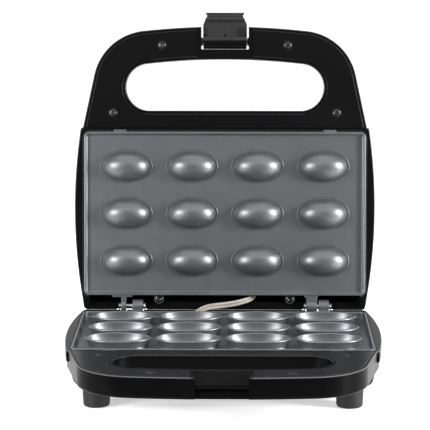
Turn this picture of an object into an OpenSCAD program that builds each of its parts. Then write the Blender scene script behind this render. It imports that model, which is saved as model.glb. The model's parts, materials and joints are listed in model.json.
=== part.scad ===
// Hinged snack press: two cast, non-stick mould plates in moulded half shells.
// The shells meet at a rear hinge and end in looped handles with a swing latch.
// Z is up, Y points to the rear, and the floor is at Z = 0.
// Each half is drawn from its parting plane outwards: the base hangs below it,
// and the lid stands above it before it is swung open on the hinge.

/* [Plates] */
// Width of each cast plate
plate_w = 220; // [180:1:270]
// Depth of each cast plate, front to rear
plate_d = 128; // [104:1:156]
// Radius of the plates' outer corners
plate_corner_r = 4.5; // [2:0.5:8]
// Width of the raised rim round each plate
rim_w = 2; // [1.4:0.1:3]
// Thickness of the cast floor of each plate
plate_t = 2.5; // [2:0.1:3.5]
// Depth of the lower tray below its rim
tray_depth = 4.5; // [3.5:0.1:6]
// Depth of the upper plate's face behind its rim
face_depth = 3.2; // [3:0.1:4.5]
// Gap left between the two rims when the lid is closed
rim_gap = 0.3; // [0.2:0.1:0.8]

/* [Cups and domes] */
// Cup columns across the plate
cup_columns = 4; // [2:1:5]
// Cup rows from front to rear
cup_rows = 3; // [2:1:3]
// Plate left outside the cup pattern at each side
cup_margin_x = 7.3; // [5:0.1:10]
// Plate left outside the cup pattern at the front and the rear
cup_margin_y = 8.6; // [6:0.1:12]
// Gap between neighbouring cup lips across the plate
cup_gap_x = 3; // [2:0.1:6]
// Gap between neighbouring cup lips front to rear
cup_gap_y = 6; // [5:0.1:8]
// Height of a cup's lip above the rim
lip_rise = 2.6; // [1:0.1:2.8]
// Width of a cup's lip
lip_w = 1.7; // [1.2:0.1:2.5]
// How far a cup's outer wall draws in from its lip to the tray
cup_flare = 3.2; // [1:0.1:4]
// Depth of a cup's hollow below its lip
cup_depth = 13.9; // [11:0.1:16]
// Room for dough between dome and cup, across the plate
dough_x = 4.2; // [3:0.1:6]
// Room for dough between dome and cup, front to rear
dough_y = 2.2; // [2:0.1:4]
// Height of a dome above the upper plate's face
dome_h = 11.6; // [7:0.1:12]

/* [Shells] */
// How far each shell stands out past the plate at its widest point
side_overhang = 7.3; // [6:0.1:12]
// Radius of the gentle bow of the shells' sides
side_bow_r = 420; // [380:5:900]
// Height of the upright band round the edge of each shell
band_h = 9.2; // [7:0.1:12]
// Depth of the base shell from parting plane to underside
base_h = 30; // [27:0.5:40]
// Height of the lid shell from parting plane to top
lid_h = 34; // [27:0.5:44]
// Wall thickness of the shells
wall = 2.3; // [1.8:0.1:3]
// Gap between shell and plate all round
plate_gap = 0.5; // [0.3:0.1:1]
// Depth of the open trough between the plates' rear edge and the rear wall
rear_trough = 8.8; // [8:0.1:14]
// Height of the feet below the base shell
foot_h = 15; // [8:0.5:25]
// Radius of each foot where it meets the shell
foot_r = 10.3; // [6:0.1:12]

/* [Handles] */
// Length of the handle in front of the shell's band
handle_len = 79; // [70:1:110]
// Height of each handle half
handle_h = 16.4; // [14.5:0.1:18]
// Radius of the ends of the grip hole
grip_r = 18.3; // [13:0.1:22]
// Width of the bar between the grip hole and the outside
grip_bar = 25.7; // [23:0.1:32]
// How far the centre of a handle corner lies in from the shell's widest point
corner_inset = 58.3; // [52:0.1:64]
// How far the handle narrows where it leaves the band
root_step = 6.7; // [5:0.1:9]
// Bow of the handle's front edge
front_sag = 3.5; // [1:0.1:5]
// Thickness of the handle covers
cover_t = 2; // [1.5:0.1:3]
// Depth of the cover's face below the parting plane
cover_drop = 0.6; // [0.4:0.1:1.2]

/* [Hinge] */
// Distance of the hinge axis behind the plates' rear edge
hinge_back = 8.6; // [8:0.1:9.5]
// Height of the hinge axis above the parting plane
hinge_up = 1.8; // [0:0.1:2.5]
// Radius of the cast hinge knuckles
knuckle_r = 5.2; // [4:0.1:6]
// Radius of the steel hinge pins
pin_r = 2; // [1.5:0.1:2.5]
// Running clearance round a pin in a bore that turns on it
running_gap = 0.06; // [0.02:0.01:0.1]
// How far the lid stands open from closed, in degrees
open_angle = 97.2; // [60:0.2:97.2]

/* [Latch] */
// Width of the latch at its pivot
latch_w = 34.2; // [28:0.1:36]
// Gap between the latch and each wall of its notch
latch_gap = 1.4; // [0.8:0.1:3]
// Distance of the latch pivot behind the handle's front edge
latch_back = 12; // [11:0.1:13]
// Height of the latch pivot above the lid's parting plane
latch_up = 4.2; // [4:0.1:5]
// Radius of the latch's pivot barrel
barrel_r = 3.3; // [2.8:0.1:3.4]
// Radius of the latch's pivot pin
latch_pin_r = 1.2; // [1:0.1:1.5]

/* [Fasteners] */
// Radius of the screw heads
head_r = 3; // [2.5:0.1:3.5]
// Height of the screw heads
head_h = 1.3; // [1:0.1:1.5]
// Radius of the screw shanks
shank_r = 1.4; // [1.2:0.1:1.7]
// Clearance round a shank in a piece it only passes through
shank_gap = 0.3; // [0.2:0.1:0.5]
// Radius of the shells' screw bosses
boss_r = 3.75; // [3.3:0.05:4.5]

/* [Heating] */
// Radius of the tubular heating elements
heater_r = 3.25; // [2.5:0.05:3.5]
// Thickness of the heat shields
shield_t = 0.6; // [0.5:0.1:1]
// Radius of the bore of the cord inlet bush
cord_bore_r = 3.4; // [2.5:0.1:4]

/* [Hidden] */
$fn = 48;
slack = 0.2;        // fit between parts that are pressed or screwed together
over = 1;           // how far a cut runs past the face it opens
corner_facets = 32; // corners in a full turn of a plate's rounded outline
press_gap = 0.01;   // clearance round a pin that is held fast
boss_skin = 1;      // shell wall left standing over the end of a boss

// Shell outline
body_half = plate_w / 2 + side_overhang;
band_front = -(plate_d + 3.2);
rear_y = rear_trough + wall + 0.1;
bow_mid = -(plate_d / 2 + 4);
rear_drop_from = 4;
open_gap = 0.35;    // gap between the open lid and the rear wall that it stands over
rear_drop = max(0.5, (rear_y - hinge_back) * max(1, tan(open_angle / 2)) - hinge_up + open_gap);
trough_half = plate_w / 2 - 3.5;
ledge = 3.5;        // lower body draws in this much under the band
base_levels = [[band_h - 0.6, ledge], [base_h - 8, ledge + 1],
  [base_h - 2.5, ledge + 3.2], [base_h, ledge + 6.5]];
lid_levels = [[band_h - 0.6, ledge], [lid_h - 12, ledge + 2], [lid_h - 5, ledge + 7],
  [lid_h - 1.5, ledge + 17], [lid_h, ledge + 30]];

// Handle outline: the grip hole's ends and the outer corners share their centres
front_y = band_front - handle_len;
corner_r = grip_r + grip_bar;
corner_x = body_half - corner_inset;
corner_y = front_y + front_sag + corner_r;
bow_end = -90 + atan(2 * front_sag / corner_x);
root = [body_half - root_step, band_front - 1.1];
root_reach = norm([root[0] - corner_x, root[1] - corner_y]);
side_angle = atan2(root[1] - corner_y, root[0] - corner_x) - acos(corner_r / root_reach);
handle_levels = [[cover_drop, 0], [handle_h - 2.5, 0], [handle_h - 0.8, 0.5], [handle_h, 1.8]];
hole_rim = wall;    // wall that the grip hole leaves standing
cover_inset = wall + 0.1;
cover_face = cover_drop;
cover_rear = band_front - 0.4;

// Latch bay
bay_half = latch_w / 2 + latch_gap;
bay_wall = 3.1;
latch_pin_half = bay_half + bay_wall + 0.4;
bay_rear = front_y + 18;
pivot_y = front_y + latch_back;
grip_front = corner_y - grip_r - front_sag;
catch_y = pivot_y - 9;
catch_z = 7.2;
catch_r = 1.6;
undercut_y = catch_y + 2;
hook_reach = norm([catch_y - pivot_y, catch_z + latch_up]) + catch_r + 0.5;

// Latch section: u runs from the pivot to the finger lip, v towards the outside
hook_t = 1.9;
latch_len = hook_reach + 6;
latch_section = [[0, 1], [hook_reach - 0.3, 1.2], [hook_reach, 0.8], [hook_reach, -3.4],
  [hook_reach + hook_t, -3.4], [hook_reach + hook_t + 1.3, 1], [latch_len - 1.2, 1.7], [latch_len, 1],
  [latch_len, 2.6], [latch_len - 1.2, 3.6], [hook_reach - 2, 3.3], [0, 3.3]];
// Heel behind the pivot, kept clear of the notch's rear wall
heel_reach = bay_rear - pivot_y - 0.5;
heel_section = [[0, barrel_r], [-heel_reach * 0.65, 2.9], [-heel_reach * 0.93, 1.6],
  [-heel_reach * 0.98, -0.4], [-heel_reach * 0.85, -2], [0, -barrel_r * 0.9]];

// Cup pattern
pitch_x = (plate_w - 2 * cup_margin_x) / cup_columns;
pitch_y = (plate_d - 2 * cup_margin_y) / cup_rows;
lip_x = (pitch_x - cup_gap_x) / 2;
lip_y = (pitch_y - cup_gap_y) / 2;
bowl_x = lip_x - lip_w;
bowl_y = lip_y - lip_w;
dome_x = bowl_x - dough_x;
dome_y = bowl_y - dough_y;
column_x = [for (i = [0:cup_columns - 1]) (i - (cup_columns - 1) / 2) * pitch_x];
row_y = [for (j = [0:cup_rows - 1]) -cup_margin_y - (j + 0.5) * pitch_y];
rim_face = rim_gap / 2;
tray_under = tray_depth + plate_t;
face_under = face_depth + plate_t;

// Fixings
cover_screw_len = 9;
ear_screw_len = 11;
head_sink = 1;      // depth of the seats that the cover screws' heads lie in
cover_screws = [[body_half - 30, band_front - 11.7], [corner_x - 10, front_y + 14.7]];
ear_x = pitch_x;
ear_y = head_r + 0.1;
ear_t = 1.8;
ear_face = min(face_under - 0.7, band_h - wall - ear_t - 0.1);
shield_screw_y = -(plate_d - 9);
lug_x = plate_w / 2 - 28.1;
lug_half = 4.9;
lug_reach = 1.6;
lug_under = 3.6;
lug_gap = 0.7;
foot_x = body_half - 25.3;
foot_front_y = band_front + 15.2;
foot_rear_y = -10;
foot_pad = 1.5;
foot_round = 1.8;
foot_seat = 6;      // depth of the sunk seat for a foot's screw
foot_boss = 9;

// Heating element: a hairpin lying in the two gaps between three rows of cups
leg_rear = -cup_margin_y - pitch_y;
leg_front = leg_rear - pitch_y;
bend_r = pitch_y / 2;
bend_x = plate_w / 2 - bend_r - 10;
leg_end = -(plate_w / 2 - 14);
lower_heater_z = tray_under + heater_r + 0.1;
upper_heater_z = face_under + heater_r + 0.1;
clamp_x = pitch_x;
clamp_t = 0.8;
clamp_w = 8;
clamp_r = heater_r + 0.1;
lower_shield_z = 18.2;
gland_r = 5.2;
gland_z = base_h - 10.5;
gland_y = rear_y - ledge - (gland_z - band_h + 0.6) / (base_h - 8 - band_h + 0.6) + 0.6;
upper_shield_z = 14.5;
shield_post_z = min(lower_shield_z, upper_shield_z) + 5;
lead_end = plate_w / 2 - 40;

// Hinge stations along X, as [start, end], left hinge first
hinge_x = [-0.3286 * plate_w, 0.3318 * plate_w];
side_gap = 0.25;    // gap beside each knuckle
knuckle_gap = 0.35; // gap round each knuckle
lid_arms = [[hinge_x[0] - 8.6, hinge_x[0] - 4.7], [hinge_x[1] - 9, hinge_x[1] - 0.7]];
lid_roots = [[hinge_x[0] - 15.8, hinge_x[0]], [hinge_x[1] - 10.5, hinge_x[1]]];
base_knuckles = [[hinge_x[0] + side_gap, hinge_x[0] + 8.5], [hinge_x[1] + 2 * side_gap, hinge_x[1] + 8.6]];
pin_spans = [[hinge_x[0] - 9.8, hinge_x[0] + 9.6], [hinge_x[1] - 10.2, hinge_x[1] + 9.8]];
hinge_bays = [[hinge_x[0] - 12.2, hinge_x[0] + 11.5], [hinge_x[1] - 12.2, hinge_x[1] + 11.8]];

// Lamps on the lid, near the handle
lamp_x = 9;
lamp_y = band_front + 40;
lamp_r = 3;
lens_crown = 1.05;

// Centre line of the sleeve on the lid's leads: up from the base, then into the lid
sleeve_r = 2.3;
sleeve_sides = 10;
sleeve_base = [[-28, -1, -13.2], [-26, 1.8, -10], [-24.3, 3, -6], [-20, 4, -1.5], [-14, 4.2, 1.5],
  [-7, 4.4, 2.8], [0, 4.8, 3.6], [7, 5.4, 4.6], [13, 7.4, 5.6]];
sleeve_lid = [[18, 3.74, 3.6], [21, 2.44, 7.47], [22.6, -0.66, 9.7], [23.2, -4.76, 10.19]];
sleeve_route = concat(sleeve_base, [for (p = sleeve_lid) opened(p)]);

// Placing the whole: middle of the outline in Y, feet on Z = 0
parting_z = base_h + foot_h;
lens_rear = cos(open_angle) * (lamp_y - hinge_back) + sin(open_angle) * (lid_h - hinge_up)
  + norm([cos(open_angle) * lamp_r, sin(open_angle) * lens_crown]);
lid_rear = hinge_back + max([lens_rear, for (level = lid_levels)
  cos(open_angle) * (band_front + level[1] - hinge_back) + sin(open_angle) * (level[0] - hinge_up)]);
front_edge = lookup(bay_half, [for (i = [0:5]) handle_outline(0)[i]]);
centre_y = (front_edge + lid_rear) / 2;

// Where a point of the closed lid stands once the lid is open
function opened(p) = let (c = cos(open_angle), s = sin(open_angle), y = p[1] - hinge_back, z = p[2] - hinge_up)
  [p[0], hinge_back + y * c + z * s, hinge_up - y * s + z * c];
// Points of a circular arc, from angle a to angle b
function arc(x, y, r, a, b, n) = [for (i = [0:n]) let (turn = a + (b - a) * i / n)
  [x + r * cos(turn), y + r * sin(turn)]];
// Adds the mirror image of a half outline, so that it closes on itself
function both_sides(half) = concat(half, [for (k = [len(half) - 1:-1:0]) [-half[k][0], half[k][1]]]);
// Half width of the shell at a given y, drawn in by an inset
function side_x(y, inset) = body_half - side_bow_r + sqrt(pow(side_bow_r - inset, 2) - pow(y - bow_mid, 2));
// Angle of the shell's side at a given y
function side_normal(y) = asin((y - bow_mid) / side_bow_r);

// Bowed outline of the shell's body, drawn in by an inset
function body_outline(inset) = let (
  rf = 1.5 + inset * 0.5, rr = 3 + inset * 0.5,
  yf = band_front + inset + rf, yr = rear_y - inset - rr)
  both_sides(concat(
    arc(side_x(yf, inset) - rf, yf, rf, -90, side_normal(yf), 4),
    [for (i = [1:9]) let (y = yf + (yr - yf) * i / 10) [side_x(y, inset), y]],
    arc(side_x(yr, inset) - rr, yr, rr, side_normal(yr), 90, 5)));

// Bowed front edge between the middle and a corner of radius r
function front_bow(r) = let (x1 = corner_x + r * cos(bow_end), y1 = corner_y + r * sin(bow_end))
  [for (i = [1:6]) let (k = (i - 0.5) / 6) [x1 * k, y1 - front_sag * (1 - pow(k, 2))]];

// Outline of the handle, drawn in by an inset; its rear end lies inside the body
function handle_outline(inset) = let (
  away = [cos(side_angle), sin(side_angle)], along = [-sin(side_angle), cos(side_angle)],
  start = root - inset * away, r = corner_r - inset)
  both_sides(concat(front_bow(r), arc(corner_x, corner_y, r, bow_end, side_angle, 16),
    [start, start + 10 * along]));

// Outline of the grip hole, let out by a margin
function grip_outline(margin) = let (r = grip_r + margin)
  both_sides(concat(front_bow(r), arc(corner_x, corner_y, r, bow_end, 90, 18)));

// Stacks an outline at several depths and skins them: levels are [depth, inset]
module skin(levels, part) {
  outlines = [for (level = levels) part == "body" ? body_outline(level[1]) : handle_outline(level[1])];
  n = len(outlines[0]);
  last = (len(levels) - 1) * n;
  points = [for (i = [0:len(levels) - 1]) for (p = outlines[i]) [p[0], p[1], levels[i][0]]];
  sides = [for (i = [0:len(levels) - 2], k = [0:n - 1]) let (a = i * n + k, b = i * n + (k + 1) % n)
    each [[a, a + n, b + n], [a, b + n, b]]];
  ends = [[for (k = [0:n - 1]) k], [for (k = [n - 1:-1:0]) last + k]];
  polyhedron(points, concat(ends, sides));
}

// Plate outline with round corners, let out by a margin
module plate_outline(margin) {
  r = plate_corner_r + margin;
  hull() for (x = [-1, 1], y = [-plate_d - margin + r, margin - r])
    translate([x * (plate_w / 2 + margin - r), y]) circle(r, $fn = corner_facets);
}

// Straight block given by its x, y and z spans
module block(x, y, z) {
  translate([x[0], y[0], z[0]]) cube([x[1] - x[0], y[1] - y[0], z[1] - z[0]]);
}

// Section in Y and Z swept along X
module across(x, points) {
  translate([x[0], 0, 0]) rotate([90, 0, 90]) linear_extrude(x[1] - x[0]) polygon(points);
}

// Cylinder along X
module rod_x(x, y, z, r) {
  translate([x[0], y, z]) rotate([0, 90, 0]) cylinder(r = r, h = x[1] - x[0]);
}

// Elliptical dome or bowl: a sphere scaled to three half axes
module egg(x, y, z) {
  scale([x / 10, y / 10, z / 10]) sphere(10);
}

module at_cups() {
  for (x = column_x, y = row_y) translate([x, y, 0]) children();
}

// Base pieces are drawn downwards from the parting plane
module in_base() {
  translate([0, -centre_y, parting_z]) mirror([0, 0, 1]) children();
}

// Lid pieces are drawn closed, then swung open about the hinge
module in_lid() {
  translate([0, hinge_back - centre_y, parting_z + hinge_up]) rotate([-open_angle, 0, 0])
    translate([0, -hinge_back, -hinge_up]) children();
}

// Latch bay of the base: open in front of a slope that ends in the catch lip
function catch_cut(back) = [[front_y - over, -over], [pivot_y - 0.4 + back, -over],
  [pivot_y - 0.4 + back, cover_face + back],
  [catch_y - catch_r * 0.55 + back * 0.6, catch_z - catch_r * 0.84 + back],
  [catch_y - catch_r + back, catch_z - 0.2 + back], [catch_y - catch_r * 0.7 + back, catch_z + catch_r * 0.7],
  [catch_y + back, catch_z + catch_r], [undercut_y + back, catch_z + catch_r],
  [undercut_y + back, handle_h + over], [front_y - over, handle_h + over]];
function notch_cut(back) = [[front_y - over, -over], [bay_rear + back, -over],
  [bay_rear + back, handle_h + over], [front_y - over, handle_h + over]];

// One moulded half: a tub for the plate with a hollow, looped handle
module half_shell(levels, height, bay) {
  last = levels[len(levels) - 1];
  inner = [[band_h - wall - 0.1, ledge + wall], [height - 9, levels[1][1] + wall], [height - wall, last[1]]];
  reach = bay_half + bay_wall;
  hinge_bay_depth = knuckle_r + 2 * knuckle_gap + (bay == "notch" ? hinge_up : -hinge_up);
  difference() {
    union() {
      difference() {
        union() {
          translate([0, 0, cover_drop]) linear_extrude(band_h - cover_drop) polygon(body_outline(0));
          skin(levels, "body");
          skin(handle_levels, "handle");
        }
        // hollow of the body
        translate([0, 0, cover_drop + wall]) linear_extrude(band_h - cover_drop - 2 * wall)
          polygon(body_outline(wall));
        skin(inner, "body");
        // hollow of the handle, leaving the grip hole's wall and the latch bay
        difference() {
          skin([[cover_drop - over, wall], [handle_h - 5.5, wall], [handle_h - wall, wall + 3]], "handle");
          block([-body_half, body_half], [cover_rear + slack, 0], [-over, handle_h + over]);
          translate([0, 0, -over]) linear_extrude(handle_h + 2 * over) polygon(grip_outline(hole_rim));
          across([-reach, reach], bay == "notch" ? notch_cut(wall) : catch_cut(wall));
          block([-reach, reach], [bay_rear - over, grip_front], [cover_drop, cover_drop + wall]);
        }
      }
      intersection() {
        union() {
          // bosses for the handle cover, the plate's ears and the heat shield
          for (s = cover_screws, side = [-1, 1]) translate([side * s[0], s[1], cover_face + cover_t + slack])
            cylinder(r = boss_r, h = handle_h - boss_skin - cover_face - cover_t);
          for (side = [-1, 1]) {
            translate([side * ear_x, ear_y, ear_face + ear_t])
              cylinder(r = boss_r, h = height - boss_skin - ear_face - ear_t);
            translate([side * ear_x, shield_screw_y, shield_post_z])
              cylinder(r = boss_r, h = height - boss_skin - shield_post_z);
          }
        }
        union() {
          skin(levels, "body");
          skin(handle_levels, "handle");
          translate([0, 0, cover_drop]) linear_extrude(band_h - cover_drop) polygon(body_outline(0));
        }
      }
    }
    // opening for the plate, its front lugs and the rear trough
    translate([0, 0, -over]) linear_extrude(over + max(tray_under, face_under) + plate_gap)
      plate_outline(plate_gap);
    for (side = [-1, 1]) block([side * lug_x - lug_half - lug_gap, side * lug_x + lug_half + lug_gap],
      [-plate_d - lug_reach - plate_gap, -plate_d + over], [-over, lug_under + 2 * lug_gap]);
    block([-trough_half, trough_half], [-over - 4, rear_trough], [-over, cover_drop + wall + 0.5]);
    // lowered rear edge and the gaps that the hinges pass through
    block([-body_half, body_half], [rear_drop_from, rear_y + over], [-over, rear_drop]);
    for (bay_x = hinge_bays) block(bay_x, [-over, rear_y + over], [-over, hinge_bay_depth]);
    // grip hole and latch bay
    translate([0, 0, -over]) linear_extrude(handle_h + 2 * over) polygon(grip_outline(0));
    across([-bay_half, bay_half], bay == "notch" ? notch_cut(0) : catch_cut(0));
    // pilot holes
    for (s = cover_screws, side = [-1, 1]) translate([side * s[0], s[1], cover_face])
      cylinder(r = shank_r, h = head_sink + cover_screw_len + over);
    for (side = [-1, 1]) translate([side * ear_x, ear_y, ear_face])
      cylinder(r = shank_r, h = ear_screw_len + over);
    children();
  }
}

module at_feet(z) {
  for (side = [-1, 1], y = [foot_front_y, foot_rear_y]) translate([side * foot_x, y, z]) children();
}

module base_shell() {
  color([0.09, 0.09, 0.1]) in_base() difference() {
    union() {
      half_shell(base_levels, base_h, "catch");
      // pads that the feet stand against, and bosses for their screws
      intersection() {
        union() {
          at_feet(base_h - foot_pad) cylinder(r = foot_r + 0.6, h = foot_pad);
          at_feet(base_h - foot_boss) cylinder(r = boss_r, h = foot_boss);
        }
        block([-body_half, body_half], [front_y, rear_y + 2], [0, base_h]);
      }
    }
    at_feet(base_h - foot_boss + boss_skin) cylinder(r = shank_r, h = foot_boss - boss_skin + over);
    translate([0, gland_y - 8, gland_z]) rotate([-90, 0, 0]) cylinder(r = gland_r + slack, h = 12);
  }
}

module lid_shell() {
  color([0.09, 0.09, 0.1]) in_lid() half_shell(lid_levels, lid_h, "notch") {
    rod_x([-latch_pin_half - slack, latch_pin_half + slack], pivot_y, latch_up, latch_pin_r + press_gap);
    for (side = [-1, 1]) translate([side * lamp_x, lamp_y, lid_h - 6]) cylinder(r = lamp_r + 0.1, h = 8);
  }
}

// Flat cover that closes a handle from the inside, screwed down at four points
module handle_cover() {
  difference() {
    translate([0, 0, cover_face]) linear_extrude(cover_t) polygon(handle_outline(cover_inset));
    block([-body_half, body_half], [cover_rear, 0], [-over, cover_face + cover_t + over]);
    translate([0, 0, -over]) linear_extrude(6) polygon(grip_outline(hole_rim + slack));
    block([-latch_pin_half, latch_pin_half], [front_y - over, corner_y - grip_r], [-over, 6]);
    for (s = cover_screws, side = [-1, 1]) translate([side * s[0], s[1], -over]) {
      cylinder(r = shank_r + shank_gap, h = 6);
      cylinder(r = head_r + shank_gap, h = over + cover_face + head_sink);
    }
  }
}

module base_handle_cover() {
  color([0.14, 0.14, 0.15]) in_base() handle_cover();
}

module lid_handle_cover() {
  color([0.1, 0.1, 0.11]) in_lid() handle_cover();
}

// Pan head screw, its head's underside at z = 0 and its shank along +Z
module screw(length) {
  difference() {
    translate([0, 0, -head_h]) intersection() {
      cylinder(r = head_r, h = head_h);
      translate([0, 0, head_r * 1.5]) sphere(head_r * 1.5);
    }
    for (turn = [45, 135]) rotate([0, 0, turn]) translate([-1.7, -0.35, -head_h - 1]) cube([3.4, 0.7, 1.9]);
  }
  cylinder(r = shank_r, h = length);
}

module cover_screw_set() {
  for (s = cover_screws, side = [-1, 1]) translate([side * s[0], s[1], cover_face + head_sink])
    screw(cover_screw_len);
}

module base_cover_screws() {
  color("dimgray") in_base() cover_screw_set();
}

module lid_cover_screws() {
  color("dimgray") in_lid() cover_screw_set();
}

module ear_screws() {
  for (side = [-1, 1]) translate([side * ear_x, ear_y, ear_face]) screw(ear_screw_len);
}

module lower_plate_screws() {
  color("dimgray") in_base() ear_screws();
}

module upper_plate_screws() {
  color("dimgray") in_lid() ear_screws();
}

// Ears behind the plate that its screws hold, and lugs in front
module plate_ears() {
  for (side = [-1, 1]) {
    difference() {
      union() {
        translate([side * ear_x, ear_y, ear_face]) cylinder(r = boss_r, h = ear_t);
        block([side * ear_x - boss_r, side * ear_x + boss_r], [-rim_w, ear_y], [ear_face, ear_face + ear_t]);
      }
      translate([side * ear_x, ear_y, ear_face - over])
        cylinder(r = shank_r + shank_gap, h = ear_t + 2 * over);
    }
    block([side * lug_x - lug_half, side * lug_x + lug_half], [-plate_d - lug_reach, -plate_d + over],
      [rim_face + 0.5, lug_under]);
  }
}

// Space that the other plate's knuckle turns in
module knuckle_room(k, z) {
  rod_x([k[0] - side_gap, k[1] + side_gap], hinge_back, z, knuckle_r + knuckle_gap);
}

module lower_plate() {
  color([0.45, 0.46, 0.48]) in_base() {
    difference() {
      union() {
        difference() {
          translate([0, 0, rim_face]) linear_extrude(tray_under - rim_face) plate_outline(0);
          translate([0, 0, -over]) linear_extrude(tray_depth + over) plate_outline(-rim_w);
        }
        at_cups() {
          // flared tub wall above the tray, bowl below it
          scale([1, lip_y / lip_x, 1]) translate([0, 0, -lip_rise])
            cylinder(r1 = lip_x, r2 = lip_x - cup_flare, h = lip_rise + tray_depth + 0.5);
          intersection() {
            translate([0, 0, -lip_rise]) egg(bowl_x + 2.2, bowl_y + 2.2, cup_depth + 2.4);
            block([-lip_x, lip_x], [-lip_y, lip_y], [tray_depth, 30]);
          }
        }
        plate_ears();
        for (k = base_knuckles) {
          rod_x(k, hinge_back, -hinge_up, knuckle_r);
          across(k, [[-rim_w, rim_face + 1], [0, rim_face + 1], [hinge_back - 3.2, -hinge_up + 0.6],
            [hinge_back + 2.5, -hinge_up + 4.4], [0, tray_under], [-rim_w, tray_under]]);
        }
      }
      at_cups() translate([0, 0, -lip_rise]) egg(bowl_x, bowl_y, cup_depth);
      for (k = base_knuckles) rod_x([k[0] - over, k[1] + over], hinge_back, -hinge_up, pin_r + press_gap);
      // room for the lid's knuckles and arms
      for (k = lid_arms) knuckle_room(k, -hinge_up);
    }
  }
}

module upper_plate() {
  color([0.42, 0.43, 0.45]) in_lid() {
    difference() {
      union() {
        difference() {
          translate([0, 0, rim_face]) linear_extrude(face_under - rim_face) plate_outline(0);
          translate([0, 0, -over]) linear_extrude(face_depth + over) plate_outline(-rim_w);
        }
        at_cups() {
          intersection() {
            translate([0, 0, face_depth]) egg(dome_x, dome_y, dome_h);
            block([-lip_x, lip_x], [-lip_y, lip_y], [-20, face_depth + 1]);
          }
          // low step that the cup's mouth meets
          scale([1, (dome_y + 0.7) / (dome_x + 1.8), 1]) translate([0, 0, face_depth - 0.3])
            cylinder(r = dome_x + 1.8, h = 0.8);
        }
        plate_ears();
        for (i = [0, 1]) {
          rod_x(lid_arms[i], hinge_back, hinge_up, knuckle_r);
          across(lid_arms[i], [[-rim_w, rim_face + 0.4], [hinge_back - 3.4, rim_face + 0.4],
            [hinge_back, hinge_up + knuckle_r - 0.1], [0, face_under], [-rim_w, face_under]]);
          block(lid_roots[i], [-rim_w, 1.5], [rim_face + 0.4, face_under]);
        }
      }
      at_cups() intersection() {
        translate([0, 0, face_depth + 0.4]) egg(dome_x - 2.4, dome_y - 2.4, dome_h - 2.2);
        block([-lip_x, lip_x], [-lip_y, lip_y], [-20, face_under + over]);
      }
      for (k = lid_arms) rod_x([k[0] - over, k[1] + over], hinge_back, hinge_up, pin_r + running_gap);
      // room for the base plate's knuckles
      for (k = base_knuckles) knuckle_room(k, hinge_up);
    }
  }
}

// Hinge pin with a rolled head at each end
module hinge_pin(span) {
  color("silver") in_base() {
    rod_x(span, hinge_back, -hinge_up, pin_r);
    rod_x([span[0] - 0.9, span[0]], hinge_back, -hinge_up, pin_r + 0.8);
    rod_x([span[1], span[1] + 0.9], hinge_back, -hinge_up, pin_r + 0.8);
  }
}

module hinge_pin_left() {
  hinge_pin(pin_spans[0]);
}

module hinge_pin_right() {
  hinge_pin(pin_spans[1]);
}

// Hairpin heating tube with a cold pin at each end
module heater(z) {
  for (y = [leg_rear, leg_front]) {
    rod_x([leg_end, bend_x], y, z, heater_r);
    rod_x([leg_end - 6, leg_end], y, z, 1.2);
  }
  translate([bend_x, (leg_rear + leg_front) / 2, z]) rotate([0, 0, -90])
    rotate_extrude(angle = 180) translate([bend_r, 0]) circle(heater_r);
}

module lower_heater() {
  color([0.55, 0.5, 0.44]) in_base() heater(lower_heater_z);
}

module upper_heater() {
  color([0.55, 0.5, 0.44]) in_lid() heater(upper_heater_z);
}

// Spring straps that press the heating tube against the plate
module heater_clamps(z) {
  for (x = [-clamp_x, 0, clamp_x], y = [leg_rear, leg_front]) {
    translate([x - clamp_w / 2, y, z]) rotate([90, 0, 90]) linear_extrude(clamp_w) {
      difference() {
        circle(clamp_r + clamp_t);
        circle(clamp_r);
        translate([-10, -20]) square([20, 20]);
      }
      for (x = [-clamp_r - clamp_t, clamp_r]) translate([x, -heater_r]) square([clamp_t, heater_r]);
    }
  }
}

module lower_heater_clamps() {
  color("silver") in_base() heater_clamps(lower_heater_z);
}

module upper_heater_clamps() {
  color("silver") in_lid() heater_clamps(upper_heater_z);
}

// Reflector tray behind a heating element, held on two posts
module heat_shield(z) {
  shield_x = [-(plate_w / 2 - 16), plate_w / 2 - 12];
  difference() {
    union() {
      block(shield_x, [-(plate_d - 5), -8], [z, z + shield_t]);
      for (y = [-(plate_d - 5), -8 - shield_t]) block(shield_x, [y, y + shield_t], [z - 3, z]);
    }
    for (side = [-1, 1]) translate([side * ear_x, shield_screw_y, z - 4])
      cylinder(r = shank_r + shank_gap, h = 8);
  }
  for (side = [-1, 1]) difference() {
    translate([side * ear_x, shield_screw_y, z + shield_t])
      cylinder(r = boss_r, h = shield_post_z - z - shield_t);
    translate([side * ear_x, shield_screw_y, z]) cylinder(r = shank_r, h = 20);
  }
}

module lower_heat_shield() {
  color("gainsboro") in_base() heat_shield(lower_shield_z);
}

module upper_heat_shield() {
  color("gainsboro") in_lid() heat_shield(upper_shield_z);
}

// Disc thermostat on the lower plate's underside, between two cup columns
module thermostat() {
  color("saddlebrown") in_base() translate([0, shield_screw_y + 1, tray_under]) {
    cylinder(r = 6, h = 2);
    translate([0, 0, 2]) cylinder(r = 5.2, h = 5);
    for (side = [-1, 1]) translate([side * 3 - 1.5, -0.4, 7]) cube([3, 0.8, 3]);
  }
}

// Thermal fuse in an insulating sleeve, clipped beside the heating tube
module thermal_fuse() {
  color("ivory") in_base() rod_x([-12, 12], -9.5, tray_under + 2.2, 2);
}

module terminal_block() {
  color("white") in_base() difference() {
    block([-17, 17], [-14, -5], [base_h - wall - 7.8, base_h - wall - 0.1]);
    for (x = [-11, 0, 11]) translate([x, -9.5, base_h - wall - 9]) cylinder(r = 2, h = 5);
  }
}

// Internal leads between cord inlet, terminal block and heating element
module base_wiring() {
  color("firebrick") in_base() {
    for (span = [[-lead_end, -17.2], [17.2, lead_end]]) rod_x(span, -9.5, base_h - wall - 4, 1.3);
  }
}

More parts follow.
